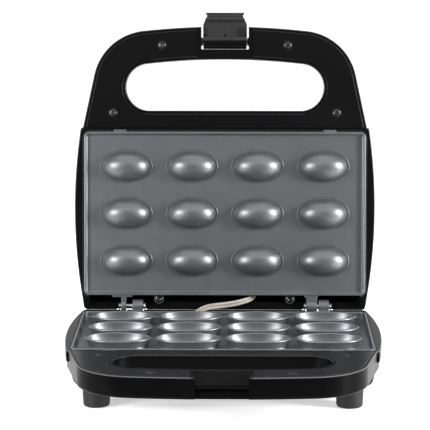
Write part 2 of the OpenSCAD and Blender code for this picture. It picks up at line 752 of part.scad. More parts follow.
// Bush in the rear wall that the supply cord would pass through
module cord_inlet_bush() {
  color("black") in_base() translate([0, gland_y, gland_z]) rotate([-90, 0, 0]) difference() {
    union() {
      translate([0, 0, -5]) cylinder(r = gland_r, h = 6);
      cylinder(r = gland_r + 1.8, h = 2);
    }
    translate([0, 0, -over - 5]) cylinder(r = cord_bore_r, h = 10);
  }
}

// Foot with a rounded tread and a sunk hole for its screw
module foot(side, y) {
  color([0.2, 0.2, 0.21]) in_base() translate([side * foot_x, y, base_h]) difference() {
    rotate_extrude() polygon(concat([[0, 0], [foot_r, 0]],
      arc(foot_r - 0.6 - foot_round, foot_h - foot_round, foot_round, 0, 90, 5), [[0, foot_h]]));
    translate([0, 0, -over]) cylinder(r = shank_r + shank_gap, h = foot_h + 2 * over);
    translate([0, 0, foot_h - foot_seat]) cylinder(r = head_r + shank_gap, h = foot_seat + over);
  }
}

module foot_front_left() {
  foot(-1, foot_front_y);
}

module foot_front_right() {
  foot(1, foot_front_y);
}

module foot_rear_left() {
  foot(-1, foot_rear_y);
}

module foot_rear_right() {
  foot(1, foot_rear_y);
}

module foot_screws() {
  color("dimgray") in_base() at_feet(base_h + foot_h - foot_seat)
    mirror([0, 0, 1]) screw(foot_h - foot_seat + foot_boss - 2 * boss_skin);
}

// Glass-fibre sleeve that carries the lid's leads past the hinge
module wire_sleeve() {
  color("antiquewhite") translate([0, -centre_y, parting_z]) {
    sweep_tube(sleeve_route, sleeve_r, sleeve_sides);
  }
}

// Direction of a route at point i, and a ring of points round it
function heading(route, i) = let (
  d = route[min(i + 1, len(route) - 1)] - route[max(i - 1, 0)]) d / norm(d);
function ring(route, i, r, sides) = let (
  t = heading(route, i), u = cross(t, [0, -1, 0]) / norm(cross(t, [0, -1, 0])), v = cross(t, u))
  [for (k = [0:sides - 1]) route[i] + r * (cos(360 * k / sides) * u + sin(360 * k / sides) * v)];

module sweep_tube(route, r, sides) {
  n = len(route);
  points = [for (i = [0:n - 1]) each ring(route, i, r, sides)];
  walls = [for (i = [0:n - 2], k = [0:sides - 1]) [(i + 1) * sides + k, (i + 1) * sides + (k + 1) % sides,
    i * sides + (k + 1) % sides, i * sides + k]];
  ends = [[for (k = [0:sides - 1]) k], [for (k = [sides - 1:-1:0]) (n - 1) * sides + k]];
  polyhedron(points, concat(walls, ends));
}

// Lens pressed into the lid from outside
module lamp_lens(side) {
  in_lid() translate([side * lamp_x, lamp_y, lid_h - 3.4]) {
    cylinder(r = lamp_r, h = 3.4);
    translate([0, 0, 3.4]) scale([1, 1, lens_crown / lamp_r]) intersection() {
      sphere(lamp_r);
      cylinder(r = lamp_r, h = lamp_r);
    }
  }
}

module power_lamp_lens() {
  color("red") lamp_lens(-1);
}

module ready_lamp_lens() {
  color("limegreen") lamp_lens(1);
}

// Carrier that holds the two neon lamps behind their lenses
module lamp_holder() {
  color("white") in_lid() difference() {
    block([-lamp_x - 5, lamp_x + 5], [lamp_y - 5, lamp_y + 5], [lid_h - 9.5, lid_h - wall - 1.3]);
    for (side = [-1, 1]) translate([side * lamp_x, lamp_y, lid_h - 11]) cylinder(r = lamp_r + 0.2, h = 12);
  }
}

module neon_lamps() {
  color("orange") in_lid() for (side = [-1, 1]) translate([side * lamp_x, lamp_y, lid_h - 9]) {
    cylinder(r = 2, h = 3.5);
    translate([0, 0, 3.5]) sphere(2);
  }
}

module latch() {
  color([0.24, 0.24, 0.25]) in_lid() difference() {
    union() {
      for (section = [latch_section, heel_section])
        across([-latch_w / 2, latch_w / 2], [for (p = section) [pivot_y - p[0], latch_up + p[1]]]);
      rod_x([-latch_w / 2, latch_w / 2], pivot_y, latch_up, barrel_r);
    }
    rod_x([-latch_w, latch_w], pivot_y, latch_up, latch_pin_r + running_gap);
    // finger lip is narrower than the pivot
    for (side = [-1, 1]) translate([side * latch_w / 2, pivot_y - hook_reach + 3.5, 0])
      rotate([0, 0, side * 17]) block(side > 0 ? [0, 12] : [-12, 0], [-14, 0], [-2, 12]);
  }
}

module latch_pin() {
  color("silver") in_lid() rod_x([-latch_pin_half, latch_pin_half], pivot_y, latch_up, latch_pin_r);
}

base_shell();
base_handle_cover();
base_cover_screws();
lower_plate();
lower_plate_screws();
lower_heater();
lower_heater_clamps();
lower_heat_shield();
thermostat();
thermal_fuse();
terminal_block();
base_wiring();
cord_inlet_bush();
foot_front_left();
foot_front_right();
foot_rear_left();
foot_rear_right();
foot_screws();
hinge_pin_left();
hinge_pin_right();
wire_sleeve();
lid_shell();
lid_handle_cover();
lid_cover_screws();
upper_plate();
upper_plate_screws();
upper_heater();
upper_heater_clamps();
upper_heat_shield();
power_lamp_lens();
ready_lamp_lens();
lamp_holder();
neon_lamps();
latch();
latch_pin();
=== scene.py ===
import json
import math

import bmesh
import bpy
from mathutils import Matrix, Vector


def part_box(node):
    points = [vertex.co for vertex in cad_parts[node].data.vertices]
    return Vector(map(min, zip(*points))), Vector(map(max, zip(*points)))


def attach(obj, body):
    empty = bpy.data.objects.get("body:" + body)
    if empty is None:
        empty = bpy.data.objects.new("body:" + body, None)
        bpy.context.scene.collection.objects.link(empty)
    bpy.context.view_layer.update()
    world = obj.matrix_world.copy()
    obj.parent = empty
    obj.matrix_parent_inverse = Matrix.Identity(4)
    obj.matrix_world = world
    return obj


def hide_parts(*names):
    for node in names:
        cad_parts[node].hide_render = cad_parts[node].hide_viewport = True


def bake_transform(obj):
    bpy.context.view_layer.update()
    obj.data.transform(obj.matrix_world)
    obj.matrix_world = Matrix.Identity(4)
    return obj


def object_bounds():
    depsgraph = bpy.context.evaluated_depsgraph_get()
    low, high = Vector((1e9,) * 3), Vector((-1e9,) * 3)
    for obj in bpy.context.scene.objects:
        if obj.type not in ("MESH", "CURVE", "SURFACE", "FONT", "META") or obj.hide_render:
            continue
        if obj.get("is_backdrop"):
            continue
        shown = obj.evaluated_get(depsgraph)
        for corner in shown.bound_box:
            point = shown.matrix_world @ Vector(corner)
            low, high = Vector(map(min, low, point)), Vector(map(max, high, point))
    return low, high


# Hinged snack press, shown open. Pieces are drawn in millimetres on their own half:
# x to the right, y to the rear, and z as depth from the parting plane outwards.
# Each one is then set in the base's or the lid's place and rides on that body.

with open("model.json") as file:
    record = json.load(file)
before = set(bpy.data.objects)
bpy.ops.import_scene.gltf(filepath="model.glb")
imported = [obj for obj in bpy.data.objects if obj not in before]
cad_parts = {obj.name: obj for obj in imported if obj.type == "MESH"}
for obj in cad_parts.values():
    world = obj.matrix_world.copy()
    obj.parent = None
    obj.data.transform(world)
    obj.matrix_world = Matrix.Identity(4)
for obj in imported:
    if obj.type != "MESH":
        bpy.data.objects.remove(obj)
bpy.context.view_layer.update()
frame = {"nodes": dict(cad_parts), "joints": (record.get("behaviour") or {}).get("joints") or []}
mm = 0.001
print("frame loaded")

# driving sizes

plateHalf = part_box("upper_plate")[1].x / mm
body = {
    "halfWidth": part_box("lid_shell")[1].x / mm,
    "front": -131.2,
    "rear": 11.2,
    "bow": 420,
    "bowMiddle": -68,
    "band": 9.2,
    "wall": 2.3,
    "partingDrop": 0.6,
    "rearDrop": 1.5,
    "trough": 8.8,
    "ledge": 3.5,
}
handle = {
    "front": -210.2,
    "cornerX": 59,
    "cornerY": -162.7,
    "cornerRadius": 44,
    "gripRadius": 18.3,
    "sag": 3.5,
    "height": 16.4,
    "sideAngle": -12.21,
    "rootX": 110.6,
    "rootY": -132.3,
}
hinge = {"back": 8.6, "up": 1.8, "knuckle": 5.2, "pin": 2}
latchBay = {"half": 18.5, "rear": -192.2, "pivotY": -198.2, "pivotZ": 4.2, "bossEnd": 17.25}

joints = {joint["name"]: joint for joint in frame["joints"]}
hingePoint = Vector(joints["lid_hinge"]["pos_m"])
openAngle = math.radians(joints["lid_hinge"]["range_deg"][1])
baseSpace = (Matrix.Translation(hingePoint + Vector((0, -hinge["back"], -hinge["up"])) * mm)
             @ Matrix.Diagonal((mm, mm, -mm, 1)))
lidSpace = (Matrix.Translation(hingePoint) @ Matrix.Rotation(-openAngle, 4, "X")
            @ Matrix.Translation(Vector((0, -hinge["back"], -hinge["up"])) * mm)
            @ Matrix.Diagonal((mm, mm, mm, 1)))
spaces = {"base": baseSpace, "lid": lidSpace, "latch": lidSpace}


# mesh helpers

def steps(a, b, n):
    return [a + (b - a) * i / n for i in range(n + 1)]


def arc(x, y, radius, a, b, n):
    return [(x + radius * math.cos(math.radians(t)), y + radius * math.sin(math.radians(t)))
            for t in steps(a, b, n)]


def bothSides(half):
    return half + [(-x, y) for x, y in reversed(half)]


def smooth(points, n):
    # a Catmull-Rom curve through the points, n steps to each stretch
    ends = [tuple(2 * p - q for p, q in zip(points[0], points[1]))]
    ends += points + [tuple(2 * p - q for p, q in zip(points[-1], points[-2]))]
    curve = []
    for a, b, c, d in zip(ends, ends[1:], ends[2:], ends[3:]):
        for i in range(n):
            t = i / n
            curve.append(tuple(0.5 * (2 * q + (r - p) * t + (2 * p - 5 * q + 4 * r - s) * t * t
                                      + (3 * q - p - 3 * r + s) * t ** 3) for p, q, r, s in zip(a, b, c, d)))
    return curve + [points[-1]]


def makeObject(name, mesh):
    bmesh.ops.recalc_face_normals(mesh, faces=mesh.faces)
    data = bpy.data.meshes.new(name)
    mesh.to_mesh(data)
    mesh.free()
    item = bpy.data.objects.new(name, data)
    bpy.context.collection.objects.link(item)
    return item


def bridge(mesh, rings):
    n = len(rings[0])
    for low, high in zip(rings, rings[1:]):
        for k in range(n):
            mesh.faces.new((low[k], low[(k + 1) % n], high[(k + 1) % n], high[k]))
    mesh.faces.new(list(reversed(rings[0])))
    mesh.faces.new(rings[-1])


def loft(name, outline, levels):
    # stacks an outline at several depths: each level is a depth and an inset
    mesh = bmesh.new()
    rings = [[mesh.verts.new((x, y, depth)) for x, y in outline(inset)] for depth, inset in levels]
    bridge(mesh, rings)
    return makeObject(name, mesh)


def corners(x, y):
    return (x[0], y[0]), (x[1], y[0]), (x[1], y[1]), (x[0], y[1])


def block(name, x, y, z, soften=0):
    mesh = bmesh.new()
    for face in z:
        for px, py in corners(x, y):
            mesh.verts.new((px, py, face))
    mesh.verts.ensure_lookup_table()
    v = list(mesh.verts)
    bridge(mesh, [v[:4], v[4:]])
    item = makeObject(name, mesh)
    return soften and bevelled(item, soften) or item


def across(name, x, points, soften=0):
    # a section in y and z drawn out along x
    mesh = bmesh.new()
    bridge(mesh, [[mesh.verts.new((px, y, z)) for y, z in points] for px in x])
    item = makeObject(name, mesh)
    return soften and bevelled(item, soften) or item


def webRings(mesh, rings, sides):
    # faces between neighbouring rings, where a ring may be a single point, and flat ends
    for low, high in zip(rings, rings[1:]):
        for k in range(sides):
            face = []
            for ring, index in ((low, k), (low, k + 1), (high, k + 1), (high, k)):
                vertex = ring[index % len(ring)]
                if vertex not in face:
                    face.append(vertex)
            mesh.faces.new(face)
    for ring in (rings[0], rings[-1]):
        if len(ring) > 1:
            mesh.faces.new(ring)


def ovalRing(mesh, centre, z, rx, ry, sides):
    # one ring of vertices, or a single point where the ring has no width
    if rx < 0.01:
        return [mesh.verts.new((*centre, z))]
    turns = [2 * math.pi * k / sides for k in range(sides)]
    return [mesh.verts.new((centre[0] + rx * math.cos(t), centre[1] + ry * math.sin(t), z)) for t in turns]


def turned(name, profile, sides=48, at=(0, 0, 0), axis="z"):
    # a profile of radius and height turned round an axis; a radius of 0 closes the end
    mesh = bmesh.new()
    rings = [ovalRing(mesh, (0, 0), height, radius, radius, sides) for radius, height in profile]
    webRings(mesh, rings, sides)
    if axis == "x":
        bmesh.ops.rotate(mesh, verts=mesh.verts, matrix=Matrix.Rotation(math.pi / 2, 3, "Y"))
    if axis == "y":
        bmesh.ops.rotate(mesh, verts=mesh.verts, matrix=Matrix.Rotation(-math.pi / 2, 3, "X"))
    bmesh.ops.translate(mesh, verts=mesh.verts, vec=at)
    return makeObject(name, mesh)


def rodX(name, x, y, z, radius, edge=0.4, sides=48):
    length = x[1] - x[0]
    ends = [(radius - edge, 0), (radius - edge * 0.3, edge * 0.3), (radius, edge)]
    profile = ends + [(r, length - h) for r, h in reversed(ends)]
    return turned(name, profile, sides, (x[0], y, z), "x")


def applied(item):
    bpy.context.view_layer.update()
    data = bpy.data.meshes.new_from_object(item.evaluated_get(bpy.context.evaluated_depsgraph_get()))
    old, name = item.data, item.data.name
    item.modifiers.clear()
    item.data = data
    bpy.data.meshes.remove(old)
    data.name = name
    return item


def bevelled(item, width, segments=3, angle=35):
    step = item.modifiers.new("soft edges", "BEVEL")
    step.width = width
    step.segments = segments
    step.limit_method = "ANGLE"
    step.angle_limit = math.radians(angle)
    return applied(item)


def combine(item, others, operation):
    for other in others:
        step = item.modifiers.new(operation, "BOOLEAN")
        step.operation = operation
        step.object = other
        step.solver = "MANIFOLD"
        applied(item)
        old = other.data
        bpy.data.objects.remove(other)
        bpy.data.meshes.remove(old)
    return item


def cut(item, *others):
    return combine(item, others, "DIFFERENCE")


def add(item, *others):
    return combine(item, others, "UNION")


def joined(name, items):
    # separate solids of one piece in one object
    mesh = bmesh.new()
    for item in items:
        mesh.from_mesh(item.data)
        old = item.data
        bpy.data.objects.remove(item)
        bpy.data.meshes.remove(old)
    return makeObject(name, mesh)


# painted highlight on the rounded upper edges of shells and covers: the band it covers, and the weaker zone
# round the grip hole
highlightBand = {
    "depth": (0.02, 0.7),        # from the parting face
    "gripHalf": 79,              # zone round the grip hole, where the painted highlight is weaker
    "gripSpan": (-184, -142),
    "gripShare": 0.25,
}


def paintedEdgeHighlight(spot):
    # painted highlight: 1 on the rounded upper edges, less round the grip hole, none in the latch bay
    low, high = (body["partingDrop"] + depth for depth in highlightBand["depth"])
    if not low < spot.z < high or abs(spot.x) < latchBay["half"] + 0.1:
        return 0
    front, rear = highlightBand["gripSpan"]
    return highlightBand["gripShare"] if abs(spot.x) < highlightBand["gripHalf"] and front < spot.y < rear else 1


def place(item, bodyName, nodes, finish, crease=34, mark=paintedEdgeHighlight):
    # sets a finished piece in its half's place and hands it to its body
    # the mask for painted highlight and painted shade, kept in the rim attribute
    rim = item.data.attributes.new("rim", "FLOAT", "POINT")
    for vertex, value in zip(item.data.vertices, rim.data):
        value.value = mark(vertex.co)
    item.data.transform(spaces[bodyName])
    mesh = bmesh.new()
    mesh.from_mesh(item.data)
    bmesh.ops.recalc_face_normals(mesh, faces=mesh.faces)
    mesh.to_mesh(item.data)
    mesh.free()
    for face in item.data.polygons:
        face.use_smooth = True
    item.data.set_sharp_from_angle(angle=math.radians(crease))
    even = item.modifiers.new("even shading", "WEIGHTED_NORMAL")
    even.keep_sharp = True
    item.data.materials.clear()
    item.data.materials.append(finish)
    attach(item, bodyName)
    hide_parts(*nodes)
    return item


# finishes

def nodeOf(tree, kind, settings=None, **values):
    node = tree.nodes.new(kind)
    for key, value in (settings or {}).items():
        setattr(node, key, value)
    for key, value in values.items():
        node.inputs[key].default_value = value
    return node


def makeFinish(name, look):
    material = bpy.data.materials.new(name)
    material.use_nodes = True
    tree = material.node_tree
    link = tree.links.new
    shader = tree.nodes["Principled BSDF"]
    for socket in ("Metallic", "IOR", "Coat Weight", "Coat Roughness", "Transmission Weight",
                   "Specular IOR Level", "Alpha", "Sheen Weight", "Subsurface Weight", "Emission Strength"):
        if socket in look:
            shader.inputs[socket].default_value = look[socket]
    shader.inputs["Emission Color"].default_value = (1, 1, 1, 1)
    where = nodeOf(tree, "ShaderNodeTexCoord")
    stretch = nodeOf(tree, "ShaderNodeMapping")
    stretch.inputs["Scale"].default_value = look.get("stretch", (1, 1, 1))
    link(where.outputs["Object"], stretch.inputs["Vector"])

    # cloudy drift of colour and gloss, over a fine grain
    noise = "ShaderNodeTexNoise"
    cloud = nodeOf(tree, noise, Scale=1 / (look.get("cloudSize", 18) * mm), Detail=4, Roughness=0.6)
    grain = nodeOf(tree, noise, Scale=1 / (look.get("grainSize", 0.5) * mm), Detail=2, Roughness=0.55)
    for texture in (cloud, grain):
        link(stretch.outputs["Vector"], texture.inputs["Vector"])
    mixed = nodeOf(tree, "ShaderNodeMix", {"data_type": "FLOAT"})
    mixed.inputs["Factor"].default_value = look.get("grainShare", 0.4)
    link(cloud.outputs["Fac"], mixed.inputs["A"])
    link(grain.outputs["Fac"], mixed.inputs["B"])
    tint = nodeOf(tree, "ShaderNodeValToRGB")
    low, high = tint.color_ramp.elements
    drift = look.get("drift", 0.12)
    low.position, high.position = 0.3, 0.7
    low.color = [c * (1 - drift) for c in look["color"]] + [1]
    high.color = [min(1, c * (1 + drift)) for c in look["color"]] + [1]
    link(mixed.outputs["Result"], tint.inputs["Fac"])
    colour = tint.outputs["Color"]

    if "rim" in look:
        # painted light and shade where place() marks the mesh: a lighter painted highlight on the rounded
        # edges of shells and covers, darker painted shade on the latch's barrel and heel
        mark = nodeOf(tree, "ShaderNodeAttribute", {"attribute_name": "rim"})
        paintedLightAndShade = nodeOf(tree, "ShaderNodeMix", {"data_type": "RGBA"})
        link(mark.outputs["Fac"], paintedLightAndShade.inputs["Factor"])
        link(colour, paintedLightAndShade.inputs[6])
        paintedLightAndShade.inputs[7].default_value = [look["rim"]] * 3 + [1]
        colour = paintedLightAndShade.outputs[2]
    if "braid" in look:
        # two sets of threads wound opposite ways
        threads = []
        for turn in (0.9, -0.9):
            lean = nodeOf(tree, "ShaderNodeMapping")
            lean.inputs["Rotation"].default_value = (0.4, 0.3, turn)
            link(where.outputs["Object"], lean.inputs["Vector"])
            wave = nodeOf(tree, "ShaderNodeTexWave", Scale=1 / (look["braid"] * mm) / 6.28,
                          Distortion=0.6)
            link(lean.outputs["Vector"], wave.inputs["Vector"])
            threads.append(wave.outputs["Fac"])
        weave = nodeOf(tree, "ShaderNodeMath", {"operation": "MULTIPLY"})
        link(threads[0], weave.inputs[0])
        link(threads[1], weave.inputs[1])
        height = weave.outputs["Value"]
        shade = nodeOf(tree, "ShaderNodeMix", {"data_type": "RGBA", "blend_type": "MULTIPLY"})
        fade = nodeOf(tree, "ShaderNodeMapRange", **{"To Min": 0.62, "To Max": 1})
        link(height, fade.inputs["Value"])
        shade.inputs["Factor"].default_value = 1
        link(colour, shade.inputs[6])
        link(fade.outputs["Result"], shade.inputs[7])
        colour = shade.outputs[2]
    else:
        height = grain.outputs["Fac"]
    link(colour, shader.inputs["Base Color"])

    gloss = nodeOf(tree, "ShaderNodeMapRange", **{"From Min": 0.3, "From Max": 0.7,
                                                  "To Min": look["gloss"][0], "To Max": look["gloss"][1]})
    link(mixed.outputs["Result"], gloss.inputs["Value"])
    link(gloss.outputs["Result"], shader.inputs["Roughness"])
    bump = nodeOf(tree, "ShaderNodeBump", Strength=look.get("bump", 0.3),
                  Distance=look.get("grainHeight", 0.05) * mm)
    link(height, bump.inputs["Height"])
    link(bump.outputs["Normal"], shader.inputs["Normal"])
    return material


# rim is the colour painted on marked vertices: a painted highlight on the rounded edges of the shell and
# cover plastics, painted shade on the latch
finishes = {
    "lidPlastic": dict(color=(0.003, 0.003, 0.0033), gloss=(0.2, 0.28), cloudSize=30, grainSize=0.35,
                       grainHeight=0.02, bump=0.2, drift=0.2, rim=0.05, **{"Specular IOR Level": 0.1}),
    "basePlastic": dict(color=(0.003, 0.003, 0.0033), gloss=(0.22, 0.3), cloudSize=30, grainSize=0.35,
                        grainHeight=0.02, bump=0.2, drift=0.2, rim=0.1, **{"Specular IOR Level": 0.03}),
    "coverPlastic": dict(color=(0.003, 0.003, 0.0034), gloss=(0.26, 0.34), cloudSize=40, grainSize=0.3,
                         grainHeight=0.02, bump=0.2, drift=0.2, rim=0.04, **{"Specular IOR Level": 0.13}),
    "coatedCasting": dict(color=(0.15, 0.156, 0.164), gloss=(0.36, 0.46), cloudSize=9, grainSize=0.32,
                          grainHeight=0.04, bump=0.45, drift=0.1, grainShare=0.65, Metallic=0.75),
    "screwSteel": dict(color=(0.075, 0.075, 0.078), gloss=(0.25, 0.42), cloudSize=2, grainSize=0.2,
                       grainHeight=0.02, bump=0.3, Metallic=1.0),
    "pinSteel": dict(color=(0.5, 0.5, 0.5), gloss=(0.22, 0.4), cloudSize=3, grainSize=0.2,
                     stretch=(0.2, 1, 1), grainHeight=0.02, bump=0.3, Metallic=1.0),
    "heaterTube": dict(color=(0.2, 0.17, 0.14), gloss=(0.4, 0.65), cloudSize=7, grainSize=0.5, drift=0.35,
                       grainHeight=0.03, bump=0.4, Metallic=0.8),
    "springSteel": dict(color=(0.35, 0.35, 0.36), gloss=(0.28, 0.4), cloudSize=4, grainSize=0.3, drift=0.15,
                        grainHeight=0.02, bump=0.3, Metallic=1.0),
    "shieldSheet": dict(color=(0.6, 0.6, 0.6), gloss=(0.25, 0.5), cloudSize=25, grainSize=0.8, drift=0.1,
                        stretch=(1, 0.1, 1), grainHeight=0.03, bump=0.35, Metallic=1.0),
    "thermostatBody": dict(color=(0.13, 0.06, 0.03), gloss=(0.35, 0.5), cloudSize=4, grainSize=0.4,
                           drift=0.2),
    "fuseSleeve": dict(color=(0.62, 0.58, 0.5), gloss=(0.6, 0.8), cloudSize=2, grainSize=0.4, drift=0.12,
                       grainHeight=0.06, bump=0.5),
    "whiteInsulator": dict(color=(0.72, 0.7, 0.66), gloss=(0.35, 0.5), cloudSize=6, grainSize=0.4,
                           drift=0.06),
    "wireInsulation": dict(color=(0.3, 0.025, 0.02), gloss=(0.35, 0.5), cloudSize=6, grainSize=0.4,
                           drift=0.15),
    "bushPlastic": dict(color=(0.012, 0.012, 0.013), gloss=(0.45, 0.6), cloudSize=6, grainSize=0.4, drift=0.2,
                        grainHeight=0.05, bump=0.4),
    "footPlastic": dict(color=(0.009, 0.009, 0.01), gloss=(0.45, 0.6), cloudSize=8, grainSize=0.3, drift=0.2,
                        grainHeight=0.05, bump=0.45, **{"Specular IOR Level": 0.3}),
    "sleeveBraid": dict(color=(0.42, 0.39, 0.34), gloss=(0.45, 0.6), cloudSize=5, grainSize=0.25, drift=0.1,
                        braid=0.55, grainHeight=0.12, bump=0.6),
    "redLens": dict(color=(0.55, 0.01, 0.008), gloss=(0.06, 0.12), cloudSize=5, grainSize=1, drift=0.15,
                    **{"Transmission Weight": 0.55, "IOR": 1.49}),
    "greenLens": dict(color=(0.01, 0.4, 0.05), gloss=(0.06, 0.12), cloudSize=5, grainSize=1, drift=0.15,
                      **{"Transmission Weight": 0.55, "IOR": 1.49}),
    "lampGlass": dict(color=(0.8, 0.5, 0.3), gloss=(0.08, 0.15), cloudSize=2, grainSize=0.5, drift=0.1,
                      **{"Transmission Weight": 0.6}),
    # its rim colour is painted shade on the latch's barrel and heel
    "latchPlastic": dict(color=(0.026, 0.026, 0.027), gloss=(0.26, 0.34), cloudSize=20, grainSize=0.3,
                         grainHeight=0.02, bump=0.2, drift=0.15, rim=0.002, **{"Specular IOR Level": 0.14}),
}
finish = {name: makeFinish(name, look) for name, look in finishes.items()}
print("finishes made")


# outlines

def sideX(y, inset):
    bow = body["bow"]
    return body["halfWidth"] - bow + math.sqrt((bow - inset) ** 2 - (y - body["bowMiddle"]) ** 2)


def sideNormal(y):
    return math.degrees(math.asin((y - body["bowMiddle"]) / body["bow"]))


def bodyOutline(inset):
    frontR, rearR = 1.5 + inset * 0.5, 3 + inset * 0.5
    low = body["front"] + inset + frontR
    high = body["rear"] - inset - rearR
    half = arc(sideX(low, inset) - frontR, low, frontR, -90, sideNormal(low), 8)
    half += [(sideX(y, inset), y) for y in steps(low, high, 24)[1:-1]]
    half += arc(sideX(high, inset) - rearR, high, rearR, sideNormal(high), 90, 10)
    return bothSides(half)


def bowedFront(radius):
    # gentle bow of the handle's front edge, shared by the outside and the grip hole
    turn = -90 + math.degrees(math.atan(2 * handle["sag"] / handle["cornerX"]))
    x1 = handle["cornerX"] + radius * math.cos(math.radians(turn))
    y1 = handle["cornerY"] + radius * math.sin(math.radians(turn))
    front = [(x1 * (i + 0.5) / 10, y1 - handle["sag"] * (1 - ((i + 0.5) / 10) ** 2)) for i in range(10)]
    return front, turn


def handleOutline(inset):
    radius = handle["cornerRadius"] - inset
    front, turn = bowedFront(radius)
    side = math.radians(handle["sideAngle"])
    rootX = handle["rootX"] - inset * math.cos(side)
    rootY = handle["rootY"] - inset * math.sin(side)
    half = front + arc(handle["cornerX"], handle["cornerY"], radius, turn, handle["sideAngle"], 30)
    half += [(rootX - t * math.sin(side), rootY + t * math.cos(side)) for t in (0, 10)]
    return bothSides(half)


def gripOutline(margin):
    radius = handle["gripRadius"] + margin
    front, turn = bowedFront(radius)
    return bothSides(front + arc(handle["cornerX"], handle["cornerY"], radius, turn, 90, 36))


plate = {
    "depth": 128,
    "corner": 4.5,
    "rim": 2,
    "rimFace": 0.15,
    "tray": 4.5,          # depth of the lower plate's recess
    "face": 3.2,          # depth of the upper plate's recess
    "floor": 2.5,
    "gap": 0.5,
}


def plateOutline(margin):
    radius = plate["corner"] + margin
    x = plateHalf - plate["corner"]
    half = arc(x, -plate["depth"] + plate["corner"], radius, -90, 0, 8)
    half += arc(x, -plate["corner"], radius, 0, 90, 8)
    return bothSides(half)


# half shells

shell = {
    "edge": 0.8,              # rounding of the upper edge
    "strip": (0.5, 0.012),    # width and slope of the strip behind each rounded edge
    "bandEdge": 0.9,          # rounding of the band's lower edge
    "baseDepth": 30,
    "lidDepth": 34,
    "baseCurve": [(9.35, 3.45), (15, 3.8), (22, 4.5), (27.2, 6.6), (30, 10.2)],
    "lidCurve": [(9.35, 3.45), (15, 3.9), (22, 5.5), (29, 10.5), (32.5, 20.5), (34, 34)],
    "hingeBays": [(-84.5, -60.8), (60.8, 84.8)],
}
coverScrews = [(87.3, -142.9), (49, -195.5)]
earX, earY, lugX = 51.35, 3.1, 81.9
baseKnuckles = [(-72.05, -63.8), (73.5, 81.6)]
lidArms = [(-80.9, -77), (64, 72.3)]
lidRoots = [(-88.1, -72.3), (62.5, 73)]


def quarterRound(depth, edge, inset):
    return [(depth + edge * (1 - math.sin(math.radians(t))), inset + edge * (1 - math.cos(math.radians(t))))
            for t in (90, 68, 45, 22, 0)]


def roundedTop(depth, edge, inset=0):
    # levels of a rounded edge that starts at a depth, with a strip of its own behind it
    return [(depth - shell["strip"][1], inset + edge + shell["strip"][0])] + quarterRound(depth, edge, inset)


def openMouth(depth, edge, margin=0, reach=3):
    # levels of a cutter whose hole has a rounded mouth; a margin is a negative inset
    mouth = quarterRound(depth, edge, margin)
    wide = mouth[0][1] + shell["strip"][0]
    return [(depth - reach, wide), (depth - shell["strip"][1] * 1.5, wide)] + mouth


def catchCut(back):
    # base latch bay: a slope down to the catch lip, an undercut and a ledge below it
    y, z = latchBay["pivotY"], body["partingDrop"]
    lipY, lipZ, lip, front = y - 9, 7.2, 1.6, handle["front"] - 2
    points = [(front, -2), (y - 0.4 + back, -2), (y - 0.4 + back, z + back - 0.1),
              (y - 0.8 + back, z + back + 0.25)]
    for t in (122, 145, 165, 185, 205, 225, 248, 270):
        turn = math.radians(t)
        points.append((lipY + back + lip * math.cos(turn), lipZ + back * 0.4 - lip * math.sin(turn)))
    points += [(lipY + 2 + back, lipZ + lip), (lipY + 2 + back, 11.3)]
    return points + [(lipY + 0.9 + back, 11.5), (lipY + 0.9 + back, 18), (front, 18)]


def notchCut(back):
    front = handle["front"] - 2
    return [(front, -2), (latchBay["rear"] + back, -2), (latchBay["rear"] + back, 18), (front, 18)]


